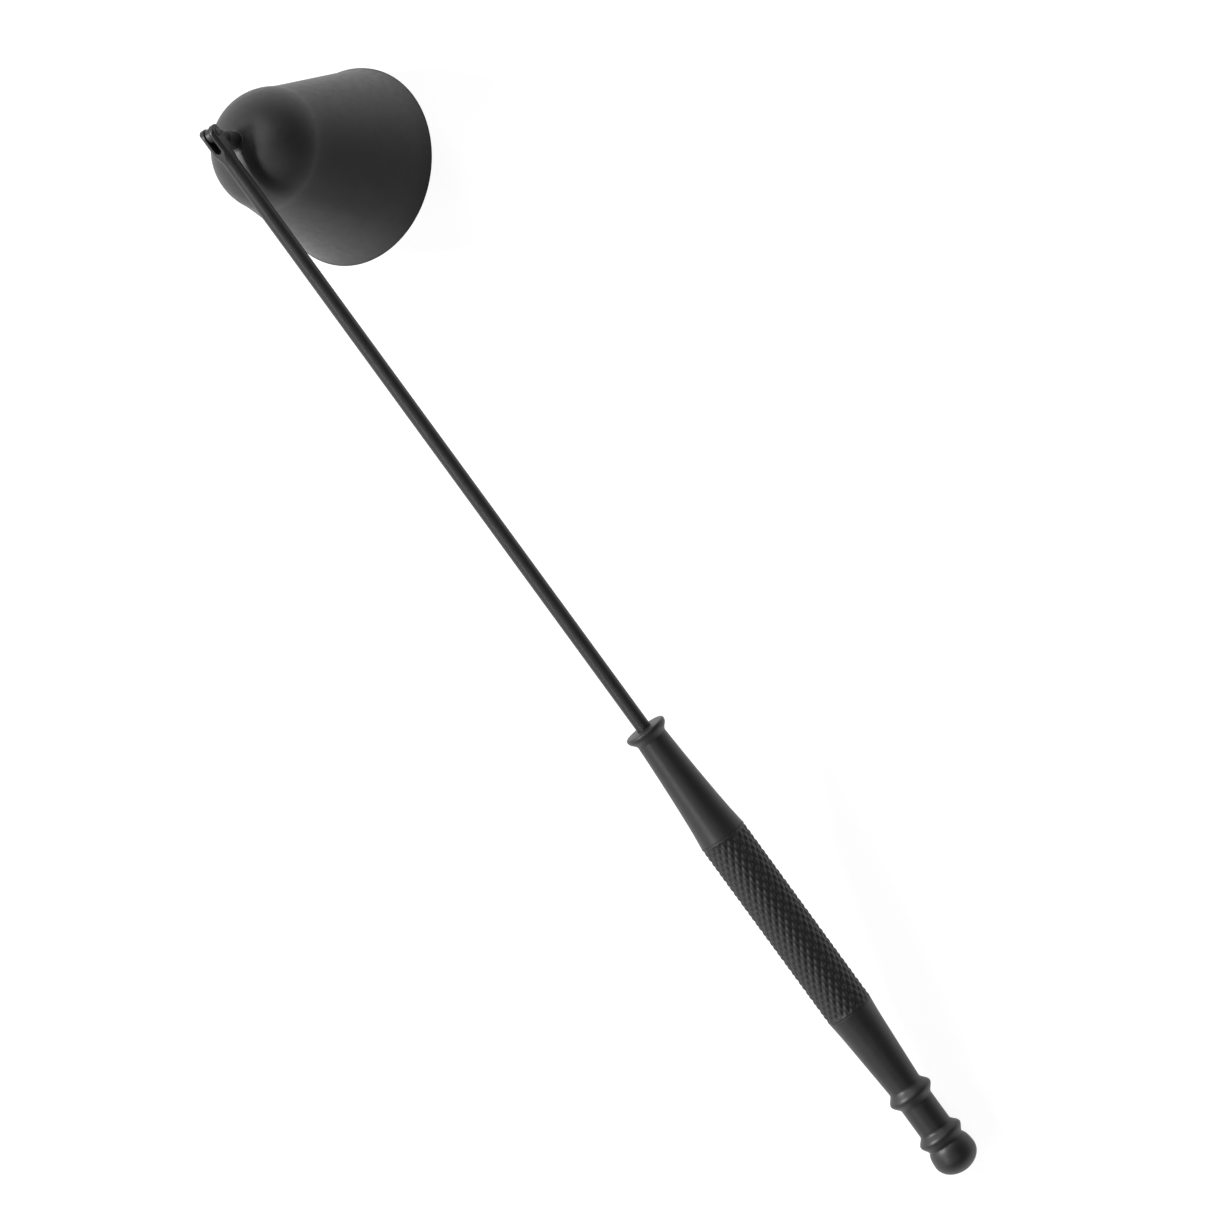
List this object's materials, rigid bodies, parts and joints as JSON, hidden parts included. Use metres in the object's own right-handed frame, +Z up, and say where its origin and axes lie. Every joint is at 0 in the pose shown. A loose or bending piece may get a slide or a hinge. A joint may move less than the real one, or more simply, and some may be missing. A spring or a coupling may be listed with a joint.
{
  "type": "candle snuffer",
  "caption": "Long-handled candle snuffer: a bell-shaped cup hinged in the forked end of a slim rod, with a turned handle that has a knurled grip and a ball end.",
  "frame": {"origin": "under the middle of the bounding box, on the surface that the snuffer lies on", "axes": "+X along the rod's plan direction, from the bell to the tail; +Z up as it lies on a table, on one edge of the bell's lip and on the ball at its tail"},
  "size_m": [0.2514, 0.041, 0.0488],
  "materials": {
    "black_paint": "satin black powder coat over steel",
    "bare_steel": "bright zinc-plated fastenings"
  },
  "bodies": {
    "handle": {"rod": "black_paint", "hinge_pin": "black_paint", "front_ferrule": "black_paint", "knurled_grip": "black_paint", "rear_ferrule": "black_paint", "tail_finial": "black_paint"},
    "bell": {"bell_cup": "black_paint", "crown_lug": "black_paint", "lug_washer": "bare_steel", "lug_screw": "bare_steel"}
  },
  "joints": [
    {"name": "bell_swing", "type": "hinge", "parent": "handle", "child": "bell", "pos_m": [-0.12208, -0.01562, 0.04669], "axis": [0.0873, 0.8581, 0.5061], "range_deg": [-6, 256]}
  ]
}
